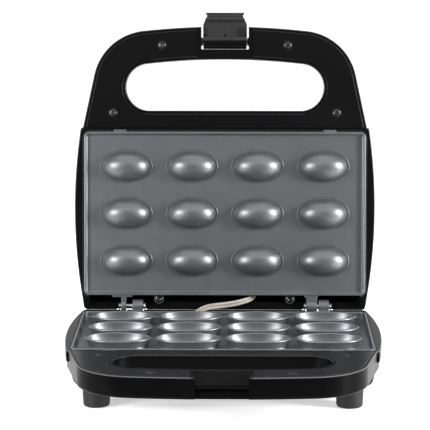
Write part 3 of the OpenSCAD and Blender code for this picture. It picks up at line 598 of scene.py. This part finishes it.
def halfShell(name, curve, depth, bay):
    edge, drop, wall = shell["edge"], body["partingDrop"], body["wall"]
    section, under = notchCut if bay == "notch" else catchCut, body["band"]
    levels = roundedTop(drop, edge)
    levels += [(under - d + drop, i) for d, i in reversed(roundedTop(drop, shell["bandEdge"])[1:])]
    levels += [(under, body["ledge"] - 0.6), (under + 0.02, body["ledge"] - 0.2)]
    item = loft(name, bodyOutline, levels + smooth(curve, 5))
    high = handle["height"]
    grip = loft("grip", handleOutline, roundedTop(drop, edge) + smooth(
        [(9.2, 0), (high - 2.5, 0), (high - 1.2, 0.3), (high - 0.4, 0.95), (high, 2)], 4))
    add(item, grip)

    # hollow of the tub, and of the handle without the grip hole's wall and the latch bay's walls
    inner = [(drop + wall, wall), (under - wall, wall)]
    inner += [(under - wall + 0.4, body["ledge"] + wall - 0.4), (under, body["ledge"] + wall)]
    inner += [(d - 1.2, i + wall) for d, i in smooth(curve[1:-1], 3)] + [(depth - wall, curve[-1][1] + 1)]
    cut(item, loft("hollow", bodyOutline, inner))
    pocket = loft("pocket", handleOutline, [(drop - 2, 2.2), (high - 5.5, wall), (high - wall, wall + 3)])
    half, bayWall = body["halfWidth"], (-latchBay["half"] - 3.1, latchBay["half"] + 3.1)
    cut(pocket, block("rear", (-half, half), (body["front"] - 0.2, 0), (-5, 20)),
        loft("rim", gripOutline, [(-5, wall - 0.1), (20, wall - 0.1)]),
        across("bay", bayWall, section(wall)),
        block("bar", bayWall, (latchBay["rear"] - 2, -183), (-5, 2.9)))
    cut(item, pocket)

    # opening for the plate with its front lugs, trough behind it, lowered rear edge, hinge bays
    cut(item, loft("opening", plateOutline, openMouth(drop, 0.5, plate["gap"]) + [(8, plate["gap"])]))
    for side in (-1, 1):
        cut(item, block("lug", (side * lugX - 5.6, side * lugX + 5.6), (-130.1, -127), (-2, 5)))
    cut(item, block("trough", (-106.5, 106.5), (-6, body["trough"]), (-2, 3.4)))
    cut(item, block("rearEdge", (-half, half), (4, body["rear"] + 1), (-2, body["rearDrop"])))
    bayFloor = hinge["knuckle"] + 0.7 + hinge["up"] * (1 if bay == "notch" else -1)
    for span in shell["hingeBays"] if bay == "notch" else baseKnuckles + lidArms:
        room = 0 if bay == "notch" else 0.5
        cut(item, block("hingeBay", (span[0] - room, span[1] + room), (-1, body["rear"] + 1), (-2, bayFloor)))

    cut(item, loft("gripHole", gripOutline, openMouth(drop, edge)
                   + [(high - d + drop, m) for d, m in reversed(openMouth(drop, 1))]))
    cut(item, across("bayCut", (-latchBay["half"], latchBay["half"]), section(0)))
    if bay == "notch":
        # bosses in the notch's walls that the latch's pin runs into
        for side in (-1, 1):
            x = sorted((side * latchBay["bossEnd"], side * (latchBay["half"] + 1)))
            add(item, rodX("pinBoss", x, latchBay["pivotY"], latchBay["pivotZ"], 3.2, 0.3))
    return item


baseShell = halfShell("baseShell", shell["baseCurve"], shell["baseDepth"], "catch")
gland = {"y": 7.49, "z": 19.5, "radius": 5.2, "bore": 3.4}
cut(baseShell, turned("glandHole", [(5.4, -8), (5.4, 4)], 48, (0, gland["y"], gland["z"]), "y"))
feet = [(-92, -116), (92, -116), (-92, -10), (92, -10)]
place(baseShell, "base", ["base_shell"], finish["basePlastic"])

lidShell = halfShell("lidShell", shell["lidCurve"], shell["lidDepth"], "notch")
lamps = {"x": 9, "y": -91.2, "radius": 3}
lensHole = [(3.1, 26), (3.1, 33.6), (3.5, 34.01), (3.5, 36)]
for side in (-1, 1):
    cut(lidShell, turned("lensHole", lensHole, 40, (side * lamps["x"], lamps["y"], 0)))
place(lidShell, "lid", ["lid_shell"], finish["lidPlastic"])
print("shells made")


# handle covers and screws

cover = {"inset": 2.4, "thickness": 2, "edge": 0.35, "rear": -131.6, "bayGap": 3.3}


def makeCover(name):
    top, low = body["partingDrop"], body["partingDrop"] + cover["thickness"]
    item = loft(name, handleOutline, roundedTop(top, cover["edge"], cover["inset"]) + [(low, cover["inset"])])
    half, bayHalf = body["halfWidth"], latchBay["half"] + cover["bayGap"]
    cut(item, block("rear", (-half, half), (cover["rear"], 0), (-5, 8)),
        loft("hole", gripOutline, openMouth(top, cover["edge"], 2.5) + [(8, 2.5)]),
        block("bay", (-bayHalf, bayHalf), (handle["front"] - 2, -181), (-5, 8)))
    recess = [(4, -1), (3.75, 0.55), (3.42, 0.75), (3.35, 1.9), (1.7, 1.9), (1.7, 5)]
    for x, y in coverScrews:
        for side in (-1, 1):
            cut(item, turned("recess", recess, 40, (side * x, y, 0)))
    return item


screw = {"radius": 3, "height": 1.3, "edge": 0.45, "cross": 3.5, "slot": 0.62, "shank": 1.4}


def makeScrew(length, turn=0):
    # head with a rolled edge and a tapered cross, its seat at z = 0 and its shank along +z
    r, h = screw["radius"], screw["height"]
    head = [(0, -h), (r * 0.5, -h + 0.06), (r * 0.78, -h + 0.22), (r * 0.93, -h + 0.48), (r, -h + 0.85)]
    shank = [(screw["shank"], 0), (screw["shank"], length), (0, length + 0.8)]
    item = turned("screw", head + [(r, -0.15), (r - 0.12, 0)] + shank, 40)
    reach, thick = screw["cross"] / 2, screw["slot"] / 2
    for angle in (turn, turn + 90):
        mesh = bmesh.new()
        rings = []
        for z, a, b in ((-h - 1, reach, thick), (-h + 0.2, reach, thick), (-h + 1.05, 0.55, 0.16)):
            rings.append([mesh.verts.new((x, y, z)) for x, y in ((a, -b), (a, b), (-a, b), (-a, -b))])
        bridge(mesh, rings)
        bmesh.ops.rotate(mesh, verts=mesh.verts, matrix=Matrix.Rotation(math.radians(angle), 3, "Z"))
        cut(item, makeObject("slot", mesh))
    return item


def screwSet(name, bodyName, node, spots, seat, length):
    items = []
    for i, (x, y) in enumerate(spots):
        item = makeScrew(length, 20 + 37 * i)
        item.data.transform(Matrix.Translation((x, y, seat)))
        items.append(item)
    place(joined(name, items), bodyName, [node], finish["screwSteel"], 40)


for bodyName in ("base", "lid"):
    place(makeCover(bodyName + "Cover"), bodyName, [bodyName + "_handle_cover"],
          finish["coverPlastic"])
    spots = [(side * x, y) for x, y in coverScrews for side in (-1, 1)]
    screwSet(bodyName + "CoverScrews", bodyName, bodyName + "_cover_screws", spots, 1.9, 8)
    half = "lower" if bodyName == "base" else "upper"
    ears = [(-earX, earY), (earX, earY)]
    screwSet(half + "PlateScrews", bodyName, half + "_plate_screws", ears, 5, 10)
print("covers and screws made")


# mould plates

cups = {
    "columns": (-77.025, -25.675, 25.675, 77.025),
    "rows": (-27.067, -64, -100.933),
    "lip": (24.175, 15.467),
    "lipWidth": 1.7,
    "rise": 2.6,
    "flare": 3.2,
    "depth": 13.9,
}
domes = {"size": (18.275, 11.567), "height": 11.6, "ring": 1.85}


def ovals(name, profile, sides=72):
    # one closed oval solid at each mould: the profile is depth and the two half widths
    mesh = bmesh.new()
    for cx in cups["columns"]:
        for cy in cups["rows"]:
            webRings(mesh, [ovalRing(mesh, (cx, cy), z, rx, ry, sides) for z, rx, ry in profile], sides)
    return makeObject(name, mesh)


def cupProfile():
    lipX, lipY = cups["lip"]
    rise, lip = cups["rise"], cups["lipWidth"] / 2
    bowlX, bowlY = lipX - 2 * lip, lipY - 2 * lip
    deep = cups["depth"] + 2.4
    hull = [(-rise + deep * math.cos(t), (bowlX + 2.2) * math.sin(t), (bowlY + 2.2) * math.sin(t))
            for t in steps(0, math.radians(54), 9)]
    # the flared wall and the fillet that it stands on
    levels = [(5.1, 1.5), (4.52, 1.2), (4.4, 0.75), (4.15, 0.4), (3.75, 0.15)]
    levels += [(z, 0) for z in (3.2, 1.6, 0, -1.1)]
    wall = [(z, lipX - cups["flare"] * (z + rise) / 7.6 + fillet,
             lipY - cups["flare"] * 0.64 * (z + rise) / 7.6 + fillet) for z, fillet in levels]
    rim = [(-rise + lip - lip * math.sin(t), lipX - lip + lip * math.cos(t), lipY - lip + lip * math.cos(t))
           for t in (math.radians(t) for t in steps(0, 180, 8))]
    bowl = [(-rise + cups["depth"] * math.sin(t), bowlX * math.cos(t), bowlY * math.cos(t))
            for t in steps(0.12, math.pi / 2, 20)]
    return hull + wall + rim + bowl


def domeProfile():
    dx, dy = domes["size"]
    face, ring = plate["face"], domes["ring"]
    dome = [(face - domes["height"] * math.cos(t), dx * math.sin(t), dy * math.sin(t))
            for t in steps(0, math.radians(88), 22)]
    foot = [(0.12, 0.08), (0.2, 0.35), (0.2, ring * 0.55), (0.05, ring * 0.72), (-0.22, ring * 0.82)]
    foot += [(-0.32, ring * 0.92), (-0.32, ring * 1.02), (-0.2, ring * 1.12)]
    foot += [(down, ring * 1.2) for down in (0, 0.5, 2.2)]
    outer = [(face + down, dx + grow, dy + grow * 0.6) for down, grow in foot]
    ix, iy, deep = dx - 2.4, dy - 2.4, domes["height"] - 2.2
    hollow = [(face + 2.2, ix, iy), (face + 0.4, ix, iy)]
    hollow += [(face + 0.4 - deep * math.sin(t), ix * math.cos(t), iy * math.cos(t))
               for t in steps(0.1, math.pi / 2, 12)]
    return dome + outer + hollow


def castSlab(name, deep):
    # rimmed slab with softened edges: a recess of the given depth inside the rim
    under, top = deep + plate["floor"], plate["rimFace"]
    outer = roundedTop(top, 0.6) + [(under - 0.6, 0), (under - 0.2, 0.12), (under, 0.5)]
    item = loft(name, lambda inset: plateOutline(-inset), outer)
    rim = plate["rim"]
    recess = [(-3, -1.35), (top, -1.35), (top + 0.12, -1.7), (top + 0.4, -1.92), (top + 0.8, -rim)]
    recess += [(deep - 0.9, -rim - 0.1), (deep - 0.35, -rim - 0.3), (deep - 0.08, -rim - 0.7)]
    recess.append((deep, -rim - 1.3))
    return cut(item, loft("recess", plateOutline, recess))


def ear(side):
    # screwed ear: a tab from the skirt and a cup with a thin raised rim round the screw head
    tab = block("tab", (side * earX - 3.6, side * earX + 3.6), (-1.2, earY), (5.05, 6.75), 0.3)
    rim = [(1.7, 6.8), (3.75, 6.8), (3.75, 4.5), (3.62, 4.22), (3.4, 4.2), (3.22, 4.4), (3.15, 5.0)]
    rim.append((1.7, 5.0))
    return tab, turned("ear", rim, 40, (side * earX, earY, 0))


def hingeRods(spans, z, radius, grow=0, edge=0.5, sides=48):
    return [rodX("knuckle", (x0 - grow, x1 + grow), hinge["back"], z, radius, edge, sides)
            for x0, x1 in spans]


def frontLugs(item):
    for side in (-1, 1):
        add(item, block("lug", (side * lugX - 4.9, side * lugX + 4.9), (-129.6, -127), (0.65, 3.6), 0.35))


# lower plate: flared tubs in a tray, and the knuckles that hold the pins
lowerPlate = castSlab("lowerPlate", plate["tray"])
cut(lowerPlate, ovals("mouths", [(3, 19.9, 12.4), (9, 19.9, 12.4)], 48))
add(lowerPlate, ovals("tubs", cupProfile()))
frontLugs(lowerPlate)
for side in (-1, 1):
    add(lowerPlate, *ear(side))
for span in baseKnuckles:
    web = across("web", span, [(-1.6, 1.15), (0, 1.15), (5.4, -1.2), (11.1, 2.6), (0, 6.9), (-1.6, 6.9)], 0.4)
    add(lowerPlate, web)
add(lowerPlate, *hingeRods(baseKnuckles, -hinge["up"], hinge["knuckle"]))
cut(lowerPlate, *hingeRods(lidArms, -hinge["up"], hinge["knuckle"] + 0.35, 0.25, 0.1))
place(lowerPlate, "base", ["lower_plate"], finish["coatedCasting"], 42)

# upper plate: oval domes, each inside a fine raised ring
upperPlate = castSlab("upperPlate", plate["face"])
cut(upperPlate, ovals("backs", [(2, 17.1, 10.4), (9, 17.1, 10.4)], 48))
add(upperPlate, ovals("domes", domeProfile()))
frontLugs(upperPlate)
for side in (-1, 1):
    add(upperPlate, *ear(side))
for span, root in zip(lidArms, lidRoots):
    add(upperPlate, block("root", root, (-1.6, 1.5), (0.55, 5.6), 0.4))
    add(upperPlate, across("arm", span, [(-1.6, 0.6), (5.2, 0.6), (8.6, 6.9), (1.2, 5.6), (-1.6, 5.6)], 0.4))
add(upperPlate, *hingeRods(lidArms, hinge["up"], hinge["knuckle"]))
cut(upperPlate, *hingeRods(baseKnuckles, hinge["up"], hinge["knuckle"] + 0.35, 0.25, 0.1))
cut(upperPlate, *hingeRods(lidArms, hinge["up"], hinge["pin"] + 0.06, 1, 0.1, 64))
place(upperPlate, "lid", ["upper_plate"], finish["coatedCasting"], 42)
print("plates made")

for name, (x0, x1) in {"left": (-82.1, -62.7), "right": (62.8, 82.8)}.items():
    headed = [(0, -0.9), (1.9, -0.86), (2.6, -0.65), (2.8, -0.4), (2.8, -0.1), (2.6, 0), (hinge["pin"], 0)]
    profile = headed + [(r, x1 - x0 - h) for r, h in reversed(headed)]
    pin = turned(name + "HingePin", profile, 40, (x0, hinge["back"], -hinge["up"]), "x")
    place(pin, "base", ["hinge_pin_" + name], finish["pinSteel"])


# latch

latch = {
    "half": 17.1,
    "neck": 13.9,         # half width just under the finger lip
    "lip": 15.1,
    "length": 22.62,
    "hook": 16.62,
    "barrel": 3.3,
    "heel": 5.95,
    "pin": 1.2,
}
hook, reach = latch["hook"], latch["length"]
plateSection = [(0, 1), (2.2, 1), (hook - 1.2, 1.2), (hook - 0.3, 0.95), (hook, 0.5), (hook, -3.1),
                (hook + 0.3, -3.4), (hook + 1.6, -3.4), (hook + 1.9, -3.1), (hook + 2.7, -0.6),
                (hook + 3.3, 1.1), (reach - 1.5, 1.7), (reach - 0.8, 1.35), (reach - 0.3, 1.1),
                (reach, 1.35), (reach, 2.7), (reach - 0.35, 3.35), (reach - 1.2, 3.55), (hook - 2, 3.25),
                (0, 3.3)]
heel = latch["heel"]
heelSection = [(0.5, 3.3), (0, 3.3), (-heel * 0.6, 2.8), (-heel * 0.92, 1.5), (-heel * 0.98, -0.4),
               (-heel * 0.85, -1.9), (-1.6, -2.4), (0.5, -2.4)]
flangeSection = [(1.2, 1.5), (1.2, -3.3), (1.5, -3.5), (3.2, -3.5), (3.6, -3.1), (3.9, 1.5)]
pivotY, pivotZ = latchBay["pivotY"], latchBay["pivotZ"]
latchSpan = (-latch["half"], latch["half"])


def fromPivot(section):
    # turns lengths along and across the latch into places in its half
    return [(pivotY - u, pivotZ + v) for u, v in section]


latchPlate = across("latch", latchSpan, fromPivot(plateSection), 0.3)
for side in (-1, 1):
    # flanks run in from the pivot towards the neck, then out again to the lip
    half, neck, lip = latch["half"], latch["neck"], latch["lip"]
    edge = [(half + 2, 9), (half + 0.1, 12.5), (half - 0.3, 14), (half - 1.5, 16.7), (neck + 0.5, 19),
            (neck, 20), (neck + 0.3, 20.8), (lip - 0.2, 21.6), (lip, 23.5), (half + 2, 23.5)]
    mesh = bmesh.new()
    bridge(mesh, [[mesh.verts.new((side * x, pivotY - u, z)) for x, u in edge] for z in (-3, 12)])
    cut(latchPlate, makeObject("flank", mesh))
heelSpan = (-latch["half"] + 0.3, latch["half"] - 0.3)
add(latchPlate, across("heel", heelSpan, fromPivot(heelSection), 0.4),
    across("flange", latchSpan, fromPivot(flangeSection), 0.15),
    rodX("barrel", latchSpan, pivotY, pivotZ, latch["barrel"], 0.4))
for x in (-16.2, 0, 16.2):
    cut(latchPlate, block("nick", (x - 0.8, x + 0.8), (pivotY - 5.9, pivotY - 3.9),
                          (pivotZ - 4, pivotZ + 2.1)))
cut(latchPlate, rodX("bore", (-20, 20), pivotY, pivotZ, latch["pin"] + 0.06, 0.05, 64))
# painted shade: the barrel and heel, apart from their back, take the latch finish's near-black rim colour
place(latchPlate, "latch", ["latch"], finish["latchPlastic"],
      mark=lambda spot: float(spot.y > pivotY - 1.1 and spot.z < pivotZ + 2.5))

pin = rodX("latchPin", (-latchBay["half"] - 3, latchBay["half"] + 3), pivotY, pivotZ, latch["pin"], 0.2, 32)
place(pin, "lid", ["latch_pin"], finish["pinSteel"])
print("latch made")


# feet, bush, lenses

foot = {"radius": 10.3, "height": 15, "taper": 0.6, "tread": 1.8, "seat": 6}
footNames = ("front_left", "front_right", "rear_left", "rear_right")
for name, (x, y) in zip(footNames, feet):
    r, h = foot["radius"], foot["height"]
    low = r - foot["taper"]
    profile = [(0, 0.01), (r - 0.2, 0.01), (r, 0.3), (r - 0.25, 6), (low, h - foot["tread"])]
    for t in (30, 55, 75, 90):
        turn, tread = math.radians(t), foot["tread"]
        profile.append((low - tread * (1 - math.cos(turn)), h - tread * (1 - math.sin(turn))))
    profile += [(3.8, h), (3.5, h - 0.25), (3.3, h - 0.6), (3.3, h - foot["seat"]), (0, h - foot["seat"])]
    words = name.split("_")
    item = turned("foot" + words[0].title() + words[1].title(), profile, 64, (x, y, shell["baseDepth"]))
    place(item, "base", ["foot_" + name], finish["footPlastic"])
screws = []
seat = shell["baseDepth"] + foot["height"] - foot["seat"]
for i, (x, y) in enumerate(feet):
    item = makeScrew(1, 15 + 50 * i)
    item.data.transform(Matrix.Translation((x, y, seat)) @ Matrix.Diagonal((1, 1, -1, 1)))
    screws.append(item)
place(joined("footScrews", screws), "base", ["foot_screws"], finish["screwSteel"], 40)

r, bore = gland["radius"], gland["bore"]
flange = [(r + 1.4, 0), (r + 1.8, 0.4), (r + 1.6, 1.4), (r + 0.9, 2)]
profile = [(bore, -5), (r - 0.4, -5), (r, -4.6), (r, 0)] + flange
profile += [(bore + 0.7, 2), (bore + 0.15, 1.6), (bore, 1)]
bush = turned("cordBush", profile, 56, (0, gland["y"], gland["z"]), "y")
place(bush, "base", ["cord_inlet_bush"], finish["bushPlastic"])

for name, side, tone in (("power", -1, "red"), ("ready", 1, "green")):
    r = lamps["radius"]
    profile = [(0, 30.6), (r - 0.3, 30.6), (r, 30.9), (r, 34)]
    for turn in (math.radians(t) for t in (15, 30, 45, 60, 75)):
        profile.append((r * math.cos(turn), 34 + 1.05 * math.sin(turn)))
    profile.append((0, 35.05))
    lens = turned(name + "Lens", profile, 40, (side * lamps["x"], lamps["y"], 0))
    place(lens, "lid", [name + "_lamp_lens"], finish[tone + "Lens"])
print("feet, bush and lenses made")


# sleeve on the lid's leads

sleeve = {"radius": 1.25, "apart": 1.1, "twist": 0.35, "sides": 16}
route = [(-28, -1, 13.2), (-26, 1.8, 10), (-24.3, 3, 6), (-20, 4, 1.5), (-14, 4.2, -1.5),
         (-7, 4.4, -2.8), (0, 4.8, -3.6), (7, 5.4, -4.6), (13, 7.4, -5.6), (18, 11, -6.4),
         (21, 15, -7.2), (22.6, 17.6, -10), (23.2, 18.6, -14)]
path = [Vector(p) for p in smooth(route, 5)]
mesh = bmesh.new()
for strand in (-1, 1):
    rings = []
    for i, point in enumerate(path):
        ahead = (path[min(i + 1, len(path) - 1)] - path[max(i - 1, 0)]).normalized()
        across1 = ahead.cross(Vector((0, -1, 0))).normalized()
        across2 = ahead.cross(across1)
        turn = strand * math.pi / 2 + math.pi / 2 + sleeve["twist"] * math.sin(i / 9)
        centre = point + sleeve["apart"] * (math.cos(turn) * across1 + math.sin(turn) * across2)
        angles = [2 * math.pi * k / sleeve["sides"] for k in range(sleeve["sides"])]
        around = [math.cos(a) * across1 + math.sin(a) * across2 for a in angles]
        rings.append([mesh.verts.new(centre + sleeve["radius"] * out) for out in around])
    bridge(mesh, rings)
wireSleeve = makeObject("wireSleeve", mesh)
wireSleeve.data.transform(baseSpace)
for face in wireSleeve.data.polygons:
    face.use_smooth = True
wireSleeve.data.set_sharp_from_angle(angle=math.radians(50))
wireSleeve.data.materials.append(finish["sleeveBraid"])
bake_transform(wireSleeve)
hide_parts("wire_sleeve")
print("sleeve made")


# parts inside the shells

inside = {
    "lower_heater": ("heater_tube", "heaterTube"),
    "upper_heater": ("heater_tube", "heaterTube"),
    "lower_heater_clamps": ("spring_steel", "springSteel"),
    "upper_heater_clamps": ("spring_steel", "springSteel"),
    "lower_heat_shield": ("shield_sheet", "shieldSheet"),
    "upper_heat_shield": ("shield_sheet", "shieldSheet"),
    "thermostat": ("thermostat_body", "thermostatBody"),
    "thermal_fuse": ("fuse_sleeve", "fuseSleeve"),
    "terminal_block": ("white_insulator", "whiteInsulator"),
    "lamp_holder": ("white_insulator", "whiteInsulator"),
    "base_wiring": ("wire_insulation", "wireInsulation"),
    "neon_lamps": ("lamp_glass", "lampGlass"),
}
for node, (slotName, finishName) in inside.items():
    item = frame["nodes"][node]
    item.data.materials.clear()
    item.data.materials.append(finish[finishName])
print("inner parts finished")


# floor, light and camera

studio = {
    "floor": (0.9, 0.9, 0.9),
    "behind": 1.05,       # brightness of the surround behind the object, and in front of it
    "before": 0.12,
    "leftBox": 17,
    "rightBox": 29,
    "topBox": 8,
    "frontStrip": 4,      # long light high in front, for the streaks on the tubs
    "glow": 0.5,          # light table under the object
    "cardFrom": -0.19,
}


def sheet(name, x, y, z, **look):
    # flat sheet of paper, sized in metres
    mesh = bmesh.new()
    for px, py in corners(x, y):
        mesh.verts.new((px, py, z))
    mesh.faces.new(mesh.verts)
    item = makeObject(name, mesh)
    look.update(cloudSize=400, grainSize=3, drift=0.01, grainHeight=0.02, bump=0.1)
    item.data.materials.append(makeFinish(name + "Paper", look))
    return item


floor = sheet("floor", (-6, 6), (-6, 6), 0, color=studio["floor"], gloss=(0.35, 0.45),
              **{"Emission Strength": studio["glow"]})
floor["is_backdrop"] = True

# dark card lying in front of the object: it only shows in reflections
card = sheet("card", (-0.9, 0.9), (studio["cardFrom"] - 1.3, studio["cardFrom"]), 0.004,
             color=(0.02, 0.02, 0.02), gloss=(0.7, 0.9))
card.visible_camera = False
card.visible_shadow = False
card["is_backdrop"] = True

world = bpy.data.worlds.new("studio")
bpy.context.scene.world = world
world.use_nodes = True
tree = world.node_tree
heading = nodeOf(tree, "ShaderNodeTexCoord")
parts = nodeOf(tree, "ShaderNodeSeparateXYZ")
fade = nodeOf(tree, "ShaderNodeMapRange", **{"From Min": -0.35, "From Max": 0.45,
                                             "To Min": studio["before"], "To Max": studio["behind"]})
tree.links.new(heading.outputs["Generated"], parts.inputs["Vector"])
tree.links.new(parts.outputs["Y"], fade.inputs["Value"])
tree.links.new(fade.outputs["Result"], tree.nodes["Background"].inputs["Strength"])
tree.nodes["Background"].inputs["Color"].default_value = (1, 1, 1, 1)
bpy.context.scene.view_settings.view_transform = "Standard"


def softLight(name, spot, target, size, power):
    data = bpy.data.lights.new(name, "AREA")
    data.shape = "RECTANGLE"
    data.size, data.size_y = size
    data.energy = power
    item = bpy.data.objects.new(name, data)
    bpy.context.collection.objects.link(item)
    item.location = spot
    item.rotation_euler = (Vector(target) - Vector(spot)).to_track_quat("-Z", "Y").to_euler()


softLight("leftBox", (-0.95, -0.72, 0.42), (0, 0, 0.12), (0.35, 0.6), studio["leftBox"])
softLight("rightBox", (1.12, -0.4, 0.42), (0, 0, 0.12), (0.25, 0.55), studio["rightBox"])
softLight("topBox", (0, 0, 1.4), (0, 0, 0), (1.6, 1.4), studio["topBox"])
softLight("frontStrip", (0, -1.0, 1.1), (0, 0, 0.05), (1.5, 0.12), studio["frontStrip"])

view = {"spot": (0.01375, -1.580665, 0.34322), "target": (-0.00653, -0.068605, 0.08429), "lens": 172.7}
data = bpy.data.cameras.new("camera")
data.lens = view["lens"]
data.sensor_width = 36
camera = bpy.data.objects.new("camera", data)
bpy.context.collection.objects.link(camera)
camera.location = hingePoint + Vector(view["spot"])
camera.rotation_euler = (Vector(view["target"]) - Vector(view["spot"])).to_track_quat("-Z", "Y").to_euler()
bpy.context.scene.camera = camera
print("studio made")

low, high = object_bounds()
